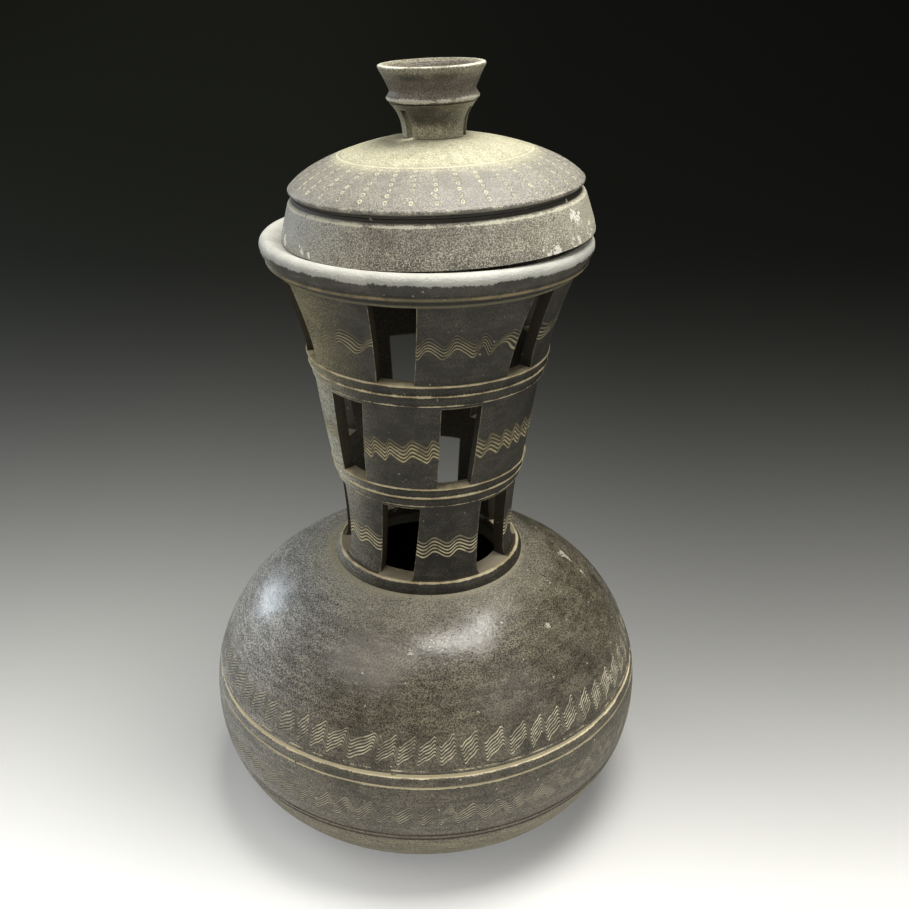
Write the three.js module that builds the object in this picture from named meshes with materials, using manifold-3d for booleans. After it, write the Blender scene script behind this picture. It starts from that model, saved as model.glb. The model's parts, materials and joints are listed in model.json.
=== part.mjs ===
// Long-necked stoneware jar with a loose lid, in millimetres, +Z up, front towards -Y.
// The origin is the centre of the flat face that the jar stands on.
// Jar and lid were each thrown in parts and luted together before firing; the parts
// of each are separate solids here that meet face to face.
import * as THREE from 'three';
import { mergeVertices } from 'three/addons/utils/BufferGeometryUtils.js';
import Module from 'manifold-3d';

// Round forms
const SIDES = 48;                 // faces round the jar and the lid
const KNOB_SIDES = 36;            // faces round the knob
const SEAM_GAP = 0.3;             // gap at each seam of the tilted lid, and at its seat

// Body
const BODY_RADIUS = 120;          // at the pale line
const LINE_HEIGHT = 84;           // height of the pale line
const FOOT_RADIUS = 57;           // flattened centre of the round base
const FOOT_REACH = 64;            // pull of the base's curve, outwards from the foot
const FOOT_LIFT = 0.6;            // and upwards
const BELLY_REACH = 7.5;          // pull of the belly's curve, out from the pale line
const BELLY_DROP = 28.7;          // and down from it
const SHOULDER_RISE = 61.5;       // from the pale line to the foot of the neck
const SHOULDER_LEAN = 2.4;        // how the shoulder leaves the pale line, inwards
const SHOULDER_LEAN_RISE = 6.5;   // and upwards
const SHOULDER_FULLNESS = 53.7;   // pull of the shoulder's curve, out from its top
const SHOULDER_FALL = 13.2;       // and down from it
const BODY_WALL = 7.5;
const SEAM_DROP = 3.5;            // seam of bowl and shoulder, below the pale line
const LINE_WIDTH = 2.4;           // the pale line is cut into the wall
const LINE_DEPTH_SHARE = 0.33;    // depth of a cut line, as a share of its width
const THIN_LINE_WIDTH = 1.5;
const BELT_HEIGHT = 7;            // from the thin line below it to the pale line
const LOW_LINE_DROP = 41;         // double line of the lower body, below the pale line
const LOW_LINE_SPACING = 3.2;
const WALL_STEP = 16;             // length of the straight steps in the body's curves

// Neck: radius of each tier's wall at its foot and head, and how late it opens (1 is even)
const NECK_OFFSET = 1.8;          // the neck stands a little off the body's axis, towards +X
const NECK_WALL = 6.5;
const LOWER_TIER = { height: 44.5, foot: 45.6, head: 48.6, bend: 2.2 };
const MIDDLE_TIER = { height: 47, foot: 51.8, head: 59.4, bend: 0.8 };
const UPPER_TIER = { height: 43, foot: 62.2, head: 75.3, bend: 1.3 };
const FOOT_RING_HEIGHT = 6;
const FOOT_RING_STAND = 6.5;      // how far the ring stands out from the neck
const BAND_HEIGHT = 12;
const BAND_STAND = 1.3;           // how far a raised band stands out from the wall
const BAND_GROOVE = 0.9;          // depth of the grooves between a band's three ridges

// Windows of the neck, each cut by eye: the turn of its sill's middle in degrees, from
// the front towards +X, the widths of its sill and head, and how far the head stands
// aside of the sill.
const WINDOW_HEAD = 1.5;          // wall left above each window
const LOWER_WINDOWS = [
  { turn: -81, sill: 17.6, head: 20, lean: 2.5 },
  { turn: -23, sill: 18.4, head: 20.3, lean: 4.4 },
  { turn: 47.3, sill: 22.3, head: 21, lean: -1 },
  { turn: 103, sill: 18, head: 20.5, lean: 1.5 },
  { turn: 168, sill: 17.6, head: 20, lean: 0 },
  { turn: 225, sill: 18.5, head: 20.5, lean: 1.5 },
];
const MIDDLE_WINDOWS = [
  { turn: -47, sill: 17.1, head: 21, lean: 4 },
  { turn: 13.8, sill: 17.1, head: 20.3, lean: 1.9 },
  { turn: 80, sill: 18.4, head: 20.8, lean: 0 },
  { turn: 136, sill: 18, head: 20.8, lean: 1 },
  { turn: 192.5, sill: 18.4, head: 20.8, lean: 0 },
  { turn: 253, sill: 17.6, head: 21, lean: 2 },
];
const UPPER_WINDOWS = [
  { turn: -70.5, sill: 17.6, head: 22, lean: 2.5 },
  { turn: -14.9, sill: 17.9, head: 22.3, lean: 2.9 },
  { turn: 44.7, sill: 16.7, head: 14.4, lean: 1.7 },
  { turn: 107, sill: 17.6, head: 20, lean: 1 },
  { turn: 168, sill: 17.6, head: 22, lean: 0 },
  { turn: 229, sill: 18, head: 21, lean: 2 },
];

// Mouth
const COLLAR_STAND = 5.2;          // collar under the lip, out from the wall
const COLLAR_HEIGHT = 5.6;
const COLLAR_GROOVE = 0.4;        // shallow groove between the collar and the lip
const LIP_STAND = 2.4;            // lip beyond the collar
const LIP_HEIGHT = 9.7;
const LIP_INSET = 4.4;            // crest of the lip, in from its widest line
const SEAT_SLOPE = 24;            // degrees, inner slope that carries the lid
const SEAT_WIDTH = 8.5;

// Lid
const LID_INSET = 1.3;            // edge of a centred lid, in from the crest of the lip
const LID_SLIP = 5.5;             // the loose lid has slid this far towards +X
const LID_TILT = 2.4;             // degrees, with that side higher
const LID_WALL = 6.5;
const SKIRT_HEIGHT = 18.6;
const SKIRT_TAPER = 5.2;          // how much narrower the skirt's top is
const RIDGE_GROOVE_HEIGHT = 3.6;
const RIDGE_GROOVE_DEPTH = 2.2;
const RIDGE_HEIGHT = 2.8;
const RIDGE_STEP = 1;             // from the ridge in to where the dome starts
const DOME_RISE = 20;             // from the ridge to the flat seat of the knob
const DOME_SEAT_RADIUS = 17;

// Knob
const KNOB_WALL = 4;
const STEM_RADIUS = 15.2;
const STEM_HEIGHT = 15.5;
const STEM_FLARE = 5.6;
const SLIT_HEIGHT = 13;
const SLITS = [
  { turn: -50, sill: 4.2, head: 4.2, lean: 0 },
  { turn: 70, sill: 4.2, head: 4.2, lean: 0 },
  { turn: 190, sill: 4.2, head: 4.2, lean: 0 },
];
const CUP_HEIGHT = 16.5;
const CUP_RIM_RADIUS = 25.6;
const CUP_RIM_ROUNDING = 0.8;
const CUP_WAIST_RADIUS = 20.3;
const KNOB_RIDGE_RADIUS = 22.2;

const wasm = await Module();
wasm.setup();

const radians = THREE.MathUtils.degToRad;
const point = (r, z) => new THREE.Vector2(r, z);

// Points of a curve from start to end, pulled towards two handles.
function curve(start, handleA, handleB, end, steps) {
  return new THREE.CubicBezierCurve(start, handleA, handleB, end).getPoints(steps);
}

// How far along a rising curve a height is reached, from 0 to 1.
function shareAt(rising, height) {
  let low = 0;
  let high = 1;
  for (let i = 0; i < 40; i += 1) {
    const middle = (low + high) / 2;
    if (rising.getPoint(middle).y < height) low = middle;
    else high = middle;
  }
  return (low + high) / 2;
}

function radiusAt(rising, height) {
  return rising.getPoint(shareAt(rising, height)).x;
}

// Points of a rising curve between two heights.
function stretch(rising, low, high) {
  const from = shareAt(rising, low);
  const to = shareAt(rising, high);
  const length = rising.getPoint(from).distanceTo(rising.getPoint(to));
  const steps = Math.ceil(length / WALL_STEP);
  const outline = [];
  for (let i = 0; i <= steps; i += 1) {
    outline.push(rising.getPoint(from + ((to - from) * i) / steps));
  }
  return outline;
}

// Points of a rising curve between two heights, with lines cut into it.
function linedWall(rising, low, high, lines) {
  const outline = [];
  let from = low;
  for (const line of lines) {
    const bottom = radiusAt(rising, line.height) - line.width * LINE_DEPTH_SHARE;
    outline.push(...stretch(rising, from, line.height - line.width / 2));
    outline.push(point(bottom, line.height));
    from = line.height + line.width / 2;
  }
  outline.push(...stretch(rising, from, high));
  return outline;
}

// The same mesh with only its places left and its shared corners merged.
function merged(geometry) {
  geometry.deleteAttribute('normal');
  geometry.deleteAttribute('uv');
  return mergeVertices(geometry, 1e-4);
}

// Solid of revolution of a closed outline of radii and heights.
function turned(outline, sides = SIDES) {
  const geometry = new THREE.LatheGeometry([...outline, outline[0].clone()], sides);
  geometry.rotateX(Math.PI / 2);
  return merged(geometry);
}

function toSolid(geometry) {
  return new wasm.Manifold(new wasm.Mesh({
    numProp: 3,
    vertProperties: geometry.attributes.position.array,
    triVerts: Uint32Array.from(geometry.index.array),
  }));
}

function fromSolid(solid) {
  const mesh = solid.getMesh();
  const geometry = new THREE.BufferGeometry();
  geometry.setAttribute('position', new THREE.BufferAttribute(mesh.vertProperties, 3));
  geometry.setIndex(new THREE.BufferAttribute(mesh.triVerts, 1));
  return geometry;
}

// Cuts openings through a ring, each at its own turn round it.
function pierced(ring, openings, low, high, reach) {
  let solid = toSolid(ring);
  for (const opening of openings) {
    const outline = new THREE.Shape([
      point(-opening.sill / 2, low),
      point(opening.sill / 2, low),
      point(opening.lean + opening.head / 2, high),
      point(opening.lean - opening.head / 2, high),
    ]);
    const cutter = new THREE.ExtrudeGeometry(outline, { depth: reach, bevelEnabled: false });
    cutter.rotateX(Math.PI / 2);
    cutter.rotateZ(radians(opening.turn));
    solid = solid.subtract(toSolid(merged(cutter)));
  }
  return fromSolid(solid);
}

function stoneware(colour, roughness) {
  return new THREE.MeshStandardMaterial({ color: colour, roughness, metalness: 0 });
}

function piece(name, geometry, material) {
  const mesh = new THREE.Mesh(geometry, material);
  mesh.name = name;
  return mesh;
}

// Heights of the jar, from the base up
const lowLine = LINE_HEIGHT - LOW_LINE_DROP;
const seamHeight = LINE_HEIGHT - SEAM_DROP;
const shoulderTop = LINE_HEIGHT + SHOULDER_RISE;
const footRingTop = shoulderTop + FOOT_RING_HEIGHT;
const lowerBandLow = footRingTop + LOWER_TIER.height;
const lowerBandTop = lowerBandLow + BAND_HEIGHT;
const upperBandLow = lowerBandTop + MIDDLE_TIER.height;
const upperBandTop = upperBandLow + BAND_HEIGHT;
const collarLow = upperBandTop + UPPER_TIER.height;
const lipLow = collarLow + COLLAR_HEIGHT;
const lipTop = lipLow + LIP_HEIGHT;

// Radii of the jar
const ringRadius = LOWER_TIER.foot + FOOT_RING_STAND;
const neckBore = LOWER_TIER.foot - NECK_WALL;
const shoulderTopRadius = ringRadius + NECK_OFFSET;

// Outer wall of the body below the pale line and above it
const bellyCurve = new THREE.CubicBezierCurve(
  point(FOOT_RADIUS, 0),
  point(FOOT_RADIUS + FOOT_REACH, FOOT_LIFT),
  point(BODY_RADIUS + BELLY_REACH, LINE_HEIGHT - BELLY_DROP),
  point(BODY_RADIUS, LINE_HEIGHT),
);
const shoulderCurve = new THREE.CubicBezierCurve(
  point(BODY_RADIUS, LINE_HEIGHT),
  point(BODY_RADIUS - SHOULDER_LEAN, LINE_HEIGHT + SHOULDER_LEAN_RISE),
  point(shoulderTopRadius + SHOULDER_FULLNESS, shoulderTop - SHOULDER_FALL),
  point(shoulderTopRadius, shoulderTop),
);

// Round base and the wall above it, up to the seam between the two lines.
function baseBowl() {
  const lines = [
    { height: lowLine, width: THIN_LINE_WIDTH },
    { height: lowLine + LOW_LINE_SPACING, width: THIN_LINE_WIDTH },
    { height: LINE_HEIGHT - BELT_HEIGHT, width: THIN_LINE_WIDTH },
  ];
  return turned([
    point(0, 0),
    ...linedWall(bellyCurve, 0, seamHeight, lines),
    ...curve(
      point(BODY_RADIUS - BODY_WALL, seamHeight),
      point(BODY_RADIUS + BELLY_REACH - BODY_WALL, LINE_HEIGHT - BELLY_DROP),
      point(FOOT_RADIUS + FOOT_REACH - BODY_WALL, BODY_WALL),
      point(FOOT_RADIUS, BODY_WALL),
      7,
    ),
    point(0, BODY_WALL),
  ]);
}

// Domed shoulder, from the seam to the foot of the neck. Its bore takes in all of
// the neck's bore.
function shoulder() {
  const bore = neckBore + NECK_OFFSET;
  const lineLow = LINE_HEIGHT - LINE_WIDTH / 2;
  return turned([
    point(BODY_RADIUS - BODY_WALL, seamHeight),
    point(radiusAt(bellyCurve, seamHeight), seamHeight),
    point(radiusAt(bellyCurve, lineLow), lineLow),
    point(BODY_RADIUS - LINE_WIDTH * LINE_DEPTH_SHARE, LINE_HEIGHT),
    ...stretch(shoulderCurve, LINE_HEIGHT + LINE_WIDTH / 2, shoulderTop),
    point(bore, shoulderTop),
    ...curve(
      point(bore, shoulderTop - BODY_WALL),
      point(shoulderTopRadius + SHOULDER_FULLNESS - BODY_WALL, shoulderTop - SHOULDER_FALL - BODY_WALL),
      point(BODY_RADIUS - BODY_WALL - SHOULDER_LEAN, LINE_HEIGHT + SHOULDER_LEAN_RISE),
      point(BODY_RADIUS - BODY_WALL, LINE_HEIGHT),
      6,
    ),
  ]);
}

// Ring of clay that covers the join of the neck and the shoulder.
function footRing() {
  return turned([
    point(neckBore, shoulderTop),
    point(ringRadius, shoulderTop),
    point(ringRadius, shoulderTop + FOOT_RING_HEIGHT * 0.45),
    point(ringRadius - FOOT_RING_STAND * 0.32, footRingTop - FOOT_RING_HEIGHT * 0.05),
    point(LOWER_TIER.foot + FOOT_RING_STAND * 0.5, footRingTop),
    point(neckBore, footRingTop),
  ]);
}

// Wall of the neck between two bands, with its windows cut down to the lower band.
function neckTier(low, tier, windows) {
  const steps = 3;
  const outer = [];
  const inner = [];
  for (let i = 0; i <= steps; i += 1) {
    const share = i / steps;
    const radius = tier.foot + (tier.head - tier.foot) * share ** tier.bend;
    outer.push(point(radius, low + tier.height * share));
    inner.unshift(point(radius - NECK_WALL, low + tier.height * share));
  }
  const overrun = 2;
  return pierced(turned([...outer, ...inner]), windows, low - overrun,
    low + tier.height - WINDOW_HEAD, tier.head + overrun);
}

// Raised band of three sharp ridges with hollows between them.
function neckBand(low, tierBelow, tierAbove) {
  const edge = (share, stand) => {
    const radius = tierBelow.head + (tierAbove.foot - tierBelow.head) * share;
    return point(radius + stand, low + BAND_HEIGHT * share);
  };
  return turned([
    edge(0, -NECK_WALL),
    edge(0, 0),
    edge(0.05, BAND_STAND * 0.7),
    edge(0.28, BAND_STAND - BAND_GROOVE),
    edge(0.46, BAND_STAND),
    edge(0.57, BAND_STAND),
    edge(0.75, BAND_STAND - BAND_GROOVE),
    edge(0.95, BAND_STAND * 0.7),
    edge(1, 0),
    edge(1, -NECK_WALL),
  ]);
}

// Mouth: a collar, the rolled lip, and inside it the sloping seat of the lid.
const wallTopRadius = UPPER_TIER.head;
const collarRadius = wallTopRadius + COLLAR_STAND;
const lipRadius = collarRadius + LIP_STAND;
const crestRadius = lipRadius - LIP_INSET;
const seatTan = Math.tan(radians(SEAT_SLOPE));
const seatHeightAt = (radius) => lipTop - (crestRadius - radius) * seatTan;

function mouthRim() {
  const seatInner = crestRadius - SEAT_WIDTH;
  return turned([
    point(wallTopRadius - NECK_WALL, collarLow),
    point(wallTopRadius, collarLow),
    point(wallTopRadius + COLLAR_STAND * 0.4, collarLow + COLLAR_HEIGHT * 0.18),
    point(collarRadius, collarLow + COLLAR_HEIGHT * 0.7),
    point(collarRadius - COLLAR_GROOVE, lipLow),
    ...curve(point(collarRadius, lipLow + LIP_HEIGHT * 0.06),
      point(lipRadius + LIP_STAND * 0.25, lipLow + LIP_HEIGHT * 0.35),
      point(lipRadius + LIP_STAND * 0.4, lipTop), point(crestRadius, lipTop), 6),
    point(seatInner, seatHeightAt(seatInner)),
  ]);
}

// Lid, in its own frame: the lower edge of the skirt lies at height 0.
const lidRadius = crestRadius - LID_INSET;
const skirtTopRadius = lidRadius - SKIRT_TAPER;
const grooveRadius = skirtTopRadius - RIDGE_GROOVE_DEPTH;
const lidInner = grooveRadius - LID_WALL;
const lidSeam = SKIRT_HEIGHT + RIDGE_GROOVE_HEIGHT / 2;
const ridgeLow = SKIRT_HEIGHT + RIDGE_GROOVE_HEIGHT;
const ridgeTop = ridgeLow + RIDGE_HEIGHT;
const domeTop = ridgeTop + DOME_RISE;

// Sloping skirt below the groove, open underneath.
function lidSkirt() {
  return turned([
    point(lidRadius - LID_WALL, 0),
    point(lidRadius, 0),
    point(lidRadius - SKIRT_TAPER * 0.12, SKIRT_HEIGHT * 0.2),
    point(skirtTopRadius + SKIRT_TAPER * 0.08, SKIRT_HEIGHT * 0.92),
    point(skirtTopRadius - RIDGE_GROOVE_DEPTH * 0.3, SKIRT_HEIGHT),
    point(grooveRadius, SKIRT_HEIGHT + RIDGE_GROOVE_HEIGHT * 0.15),
    point(grooveRadius, lidSeam),
    point(lidInner, lidSeam),
  ]);
}

// Domed top above the groove, with its ridge and the flat seat of the knob.
function lidDome() {
  const innerTop = domeTop - LID_WALL;
  return turned([
    point(lidInner, lidSeam + SEAM_GAP),
    point(grooveRadius, lidSeam + SEAM_GAP),
    point(grooveRadius, ridgeLow - RIDGE_GROOVE_HEIGHT * 0.1),
    point(skirtTopRadius - RIDGE_STEP * 0.4, ridgeLow + RIDGE_HEIGHT * 0.15),
    point(skirtTopRadius, ridgeLow + RIDGE_HEIGHT * 0.5),
    ...curve(point(skirtTopRadius - RIDGE_STEP, ridgeTop),
      point(skirtTopRadius * 0.88, ridgeTop + DOME_RISE * 0.42),
      point(skirtTopRadius * 0.56, domeTop - DOME_RISE * 0.16),
      point(DOME_SEAT_RADIUS, domeTop), 6),
    point(0, domeTop),
    point(0, innerTop),
    ...curve(point(DOME_SEAT_RADIUS, innerTop), point(lidInner * 0.56, innerTop - DOME_RISE * 0.16),
      point(lidInner * 0.88, ridgeTop + DOME_RISE * 0.1), point(lidInner, ridgeLow), 5),
  ]);
}

// Hollow stem of the knob with its tall slits.
const stemLow = domeTop + SEAM_GAP;
const stemTop = stemLow + STEM_HEIGHT;
const stemTopRadius = STEM_RADIUS + STEM_FLARE;

function knobStem() {
  const wall = turned([
    point(STEM_RADIUS - KNOB_WALL, stemLow),
    ...curve(point(STEM_RADIUS, stemLow), point(STEM_RADIUS, stemLow + STEM_HEIGHT * 0.45),
      point(STEM_RADIUS + STEM_FLARE * 0.25, stemTop - STEM_HEIGHT * 0.3),
      point(stemTopRadius, stemTop), 5),
    point(stemTopRadius - KNOB_WALL, stemTop),
    point(STEM_RADIUS - KNOB_WALL, stemLow + STEM_HEIGHT * 0.5),
  ], KNOB_SIDES);
  const overrun = 2;
  return pierced(wall, SLITS, stemLow - overrun, stemLow + SLIT_HEIGHT,
    stemTopRadius + overrun);
}

// Open cup on the stem, with a ridge round its foot.
const cupLow = stemTop + SEAM_GAP;
const cupTop = cupLow + CUP_HEIGHT;

function knobCup() {
  const waist = cupLow + CUP_HEIGHT * 0.3;
  return turned([
    point(stemTopRadius - KNOB_WALL, cupLow),
    point(stemTopRadius, cupLow),
    point(KNOB_RIDGE_RADIUS, cupLow + CUP_HEIGHT * 0.1),
    point(CUP_WAIST_RADIUS, waist),
    point(CUP_RIM_RADIUS, cupTop - CUP_RIM_ROUNDING),
    point(CUP_RIM_RADIUS - CUP_RIM_ROUNDING, cupTop),
    point(CUP_RIM_RADIUS + CUP_RIM_ROUNDING - KNOB_WALL, cupTop),
    point(CUP_WAIST_RADIUS - KNOB_WALL, waist),
  ], KNOB_SIDES);
}

// The lid has slid off centre and tilts: one side has gone down the sloping seat, and
// the other stands a little off the lip.
const lidTilt = radians(LID_TILT);

// Height of the lid at which its lower edge just clears the seat and the lip.
function seatedHeight() {
  const steps = 72;
  let height = 0;
  for (let i = 0; i < steps; i += 1) {
    const turn = (i * 2 * Math.PI) / steps;
    const x = LID_SLIP + lidRadius * Math.cos(lidTilt) * Math.cos(turn);
    const radius = Math.hypot(x, lidRadius * Math.sin(turn));
    const rise = lidRadius * Math.sin(lidTilt) * Math.cos(turn);
    height = Math.max(height, Math.min(seatHeightAt(radius), lipTop) - rise);
  }
  return height + SEAM_GAP / Math.cos(radians(SEAT_SLOPE));
}

const bodyClay = stoneware(0x4b473d, 0.5);
const neckClay = stoneware(0x4a463b, 0.65);
const rimClay = stoneware(0x9b998b, 0.75);
const lidClay = stoneware(0x8a8673, 0.8);
const knobClay = stoneware(0x5d5647, 0.7);

const neck = new THREE.Group();
neck.add(
  piece('neck_foot_ring', footRing(), neckClay),
  piece('neck_lower_tier', neckTier(footRingTop, LOWER_TIER, LOWER_WINDOWS), neckClay),
  piece('neck_lower_band', neckBand(lowerBandLow, LOWER_TIER, MIDDLE_TIER), neckClay),
  piece('neck_middle_tier', neckTier(lowerBandTop, MIDDLE_TIER, MIDDLE_WINDOWS), neckClay),
  piece('neck_upper_band', neckBand(upperBandLow, MIDDLE_TIER, UPPER_TIER), neckClay),
  piece('neck_upper_tier', neckTier(upperBandTop, UPPER_TIER, UPPER_WINDOWS), neckClay),
  piece('mouth_rim', mouthRim(), rimClay),
);
neck.position.x = NECK_OFFSET;

const jar = new THREE.Group();
jar.add(
  piece('base_bowl', baseBowl(), bodyClay),
  piece('shoulder', shoulder(), bodyClay),
  neck,
);

const lid = new THREE.Group();
lid.add(
  piece('lid_skirt', lidSkirt(), lidClay),
  piece('lid_dome', lidDome(), lidClay),
  piece('lid_knob_stem', knobStem(), knobClay),
  piece('lid_knob_cup', knobCup(), knobClay),
);
lid.position.set(NECK_OFFSET + LID_SLIP, 0, seatedHeight());
lid.rotation.y = -lidTilt;

const longNeckedJar = new THREE.Group();
longNeckedJar.add(jar, lid);

export default longNeckedJar;
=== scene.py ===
# Looks of the long-necked stoneware jar: thrown pieces, finishes, light, floor and camera.
# Outlines are lists of (radius, height, pale) in millimetres; pale is how much light
# deposit lies there, from 0 to 1, and may be left out. Blender itself works in metres.
import json
import math

import bmesh
import bpy
from mathutils import Matrix, Vector, noise

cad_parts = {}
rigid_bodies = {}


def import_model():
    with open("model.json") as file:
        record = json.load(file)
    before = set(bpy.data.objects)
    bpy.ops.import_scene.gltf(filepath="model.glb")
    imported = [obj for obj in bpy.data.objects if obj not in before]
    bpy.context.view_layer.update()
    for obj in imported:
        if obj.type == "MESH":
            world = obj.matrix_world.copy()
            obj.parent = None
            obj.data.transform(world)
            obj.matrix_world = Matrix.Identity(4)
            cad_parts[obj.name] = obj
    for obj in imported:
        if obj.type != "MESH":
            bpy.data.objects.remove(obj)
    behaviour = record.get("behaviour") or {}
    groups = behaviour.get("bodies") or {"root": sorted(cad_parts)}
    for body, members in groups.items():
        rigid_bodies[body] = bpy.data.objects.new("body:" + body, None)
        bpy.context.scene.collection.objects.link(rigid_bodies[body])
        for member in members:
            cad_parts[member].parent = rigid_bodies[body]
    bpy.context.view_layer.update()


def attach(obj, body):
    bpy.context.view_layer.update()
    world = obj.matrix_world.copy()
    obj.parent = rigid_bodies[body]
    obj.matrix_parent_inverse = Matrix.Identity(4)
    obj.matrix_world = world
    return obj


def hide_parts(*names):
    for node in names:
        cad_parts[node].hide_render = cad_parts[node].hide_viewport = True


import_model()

MM = 0.001
SIDES = 224
KNOB_SIDES = 112
ROW_STEP = 2.2
AXIS_REACH = 1e-9
TINY = 1e-6
CORNER_ANGLE = math.radians(18)
SHARP_ANGLE = math.radians(38)
MOST_ROUNDED = 0.4

# Unevenness of thrown clay: scales of its two noises, share of the finer one
BROAD_WOBBLE = 18.0
FINE_WOBBLE = 70.0
FINE_SHARE = 0.35

# Cosines and distances in mm that tell cut faces, outer faces and the sills on a ring
SIDEWAYS_BELOW = 0.6
TOUCHES = 0.05
OUTWARD_ABOVE = 0.35
SILL_DEPTH = 0.7

# Camera, found from the rings of the jar
FOCAL_LENGTH = 40.95
SENSOR_WIDTH = 36.0
CAMERA_PLACE = Vector((0.0, -0.5099, 0.445))
CAMERA_PITCH = math.radians(25.45)
CAMERA_YAW = math.radians(1.785)
CAMERA_ROLL = math.radians(0.38)

# Where the lights point
LIT_PLACE = Vector((0.0, 0.0, 0.2))

# Body
BODY_RADIUS = 120.0
LINE_HEIGHT = 84.0
SEAM_HEIGHT = 80.5
BODY_WALL = 7.5
FOOT_RADIUS = 57.0
FOOT_REACH = 64.0
FOOT_LIFT = 0.6
BELLY_REACH = 7.5
BELLY_DROP = 28.7
SHOULDER_LEAN = 2.4
SHOULDER_LEAN_RISE = 6.5
SHOULDER_FULLNESS = 53.7
SHOULDER_FALL = 13.2
SHOULDER_TOP = 145.5
SHOULDER_TOP_RADIUS = 53.9
FOOT_LINE = 43.0

# Lines cut round the body: height, width, depth, pale
BODY_LINES = ((FOOT_LINE, 1.5, 0.5, 0.75), (46.2, 1.5, 0.5, 0.6), (78.0, 1.1, 0.5, 1.5),
              (LINE_HEIGHT, 2.4, 0.8, 1.0), (86.8, 0.8, 0.25, 0.5))

# Neck
NECK_OFFSET = 1.8
NECK_WALL = 6.5
NECK_BORE = 39.1
RING_TOP = 151.5
BAND_HEIGHT = 12.0
BAND_STAND = 1.3
LOWER_TIER = {"low": 151.5, "high": 196.0, "foot": 45.6, "head": 48.6, "bend": 2.2, "flare": 1.6}
MIDDLE_TIER = {"low": 208.0, "high": 255.0, "foot": 51.8, "head": 59.4, "bend": 0.8, "flare": 0.4}
UPPER_TIER = {"low": 267.0, "high": 310.0, "foot": 62.2, "head": 75.3, "bend": 1.3, "flare": 0.4}
WINDOW_HEAD = 1.5
CUT_START = 5.0
CUT_BELOW = 2.0
FAR_OFF = 9.0


def window(turn, sill, head, lean=0.0):
    """An opening: turn of its sill's middle, its two widths, how far its head stands aside."""
    return {"turn": math.radians(turn), "sill": sill, "head": head, "lean": lean}


LOWER_WINDOWS = (window(-81, 17.6, 20.0, 2.5), window(-23, 18.4, 20.3, 4.4),
                 window(47.3, 22.3, 21.0, -1.0), window(103, 18.0, 20.5, 1.5),
                 window(168, 17.6, 20.0), window(225, 18.5, 20.5, 1.5))
MIDDLE_WINDOWS = (window(-47, 17.1, 21.0, 4.0), window(13.8, 17.1, 20.3, 1.9),
                  window(80, 18.4, 20.8), window(136, 18.0, 20.8, 1.0),
                  window(192.5, 18.4, 20.8), window(253, 17.6, 21.0, 2.0))
UPPER_WINDOWS = (window(-70.5, 17.6, 22.0, 2.5), window(-14.9, 17.9, 22.3, 2.9),
                 window(44.7, 16.7, 14.4, 1.7), window(107, 17.6, 20.0, 1.0),
                 window(168, 17.6, 22.0), window(229, 18.0, 21.0, 2.0))

# Mouth
LIP_TOP = 325.3
CREST_RADIUS = 78.5
SEAT_WIDTH = 8.5
SEAT_TAN = math.tan(math.radians(24.0))

# Lid, in its own frame
LID_RADIUS = 77.2
LID_SLIP = 5.5
LID_TILT = math.radians(2.4)
LID_WALL = 6.5
LID_SEAM = 20.4
LID_SEAM_RADIUS = 69.8
SEAM_GAP = 0.3
DOME_TOP = 45.0
DOME_SEAT_RADIUS = 17.0
DOME_HOLLOW_TOP = 38.5
STEM_RADIUS = 15.2
STEM_TOP_RADIUS = 20.8
STEM_LOW = 45.3
STEM_TOP = 60.8
CUP_LOW = 61.1
CUP_TOP = 77.6
CUP_RIM_RADIUS = 25.6
CUP_WAIST_RADIUS = 20.3
KNOB_WALL = 4.0
SLITS = (window(-50, 4.2, 4.2), window(70, 4.2, 4.2), window(190, 4.2, 4.2))
SLIT_HEAD = 58.3


def seated_height(tilt):
    """Height of the slid lid at which its lower edge just clears the seat."""
    height = 0.0
    for i in range(72):
        turn = i * math.tau / 72
        x = LID_SLIP + LID_RADIUS * math.cos(tilt) * math.cos(turn)
        radius = math.hypot(x, LID_RADIUS * math.sin(turn))
        seat = min(LIP_TOP - (CREST_RADIUS - radius) * SEAT_TAN, LIP_TOP)
        height = max(height, seat - LID_RADIUS * math.sin(tilt) * math.cos(turn))
    return height + SEAM_GAP / math.cos(math.atan(SEAT_TAN))


LID_PLACE = Vector((NECK_OFFSET + LID_SLIP, 0.0, seated_height(LID_TILT)))
BODY_FRAME = Matrix.Identity(4)
NECK_FRAME = Matrix.Translation((NECK_OFFSET * MM, 0.0, 0.0))
LID_FRAME = Matrix.Translation(LID_PLACE * MM) @ Matrix.Rotation(-LID_TILT, 4, "Y")


# Outlines

def curve(start, handle_a, handle_b, end, steps, pale=0.0):
    """Points of a Bezier curve between two ends, pulled towards two handles."""
    points = []
    for i in range(steps + 1):
        t = i / steps
        u = 1.0 - t
        weights = (u ** 3, 3 * u * u * t, 3 * u * t * t, t ** 3)
        ends = (start, handle_a, handle_b, end)
        radius = sum(w * p[0] for w, p in zip(weights, ends))
        height = sum(w * p[1] for w, p in zip(weights, ends))
        points.append((radius, height, pale))
    return points


def radius_at(points, height):
    """Radius of a rising row of points at a height."""
    for low, high in zip(points, points[1:]):
        if low[1] <= height <= high[1]:
            share = (height - low[1]) / max(high[1] - low[1], TINY)
            return low[0] + (high[0] - low[0]) * share
    return points[-1][0] if height > points[-1][1] else points[0][0]


# A cut line across its width: place, depth and pale deposit, as shares
CUT_EDGE = 0.9
CUT = ((-CUT_EDGE, 0.0, 0.0), (-0.62, -0.14, 0.0), (-0.48, 0.0, 0.15), (-0.33, 1.0, 1.0),
       (0.33, 1.0, 1.0), (0.48, 0.1, 0.35), (0.62, -0.14, 0.0), (CUT_EDGE, 0.0, 0.0))


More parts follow.
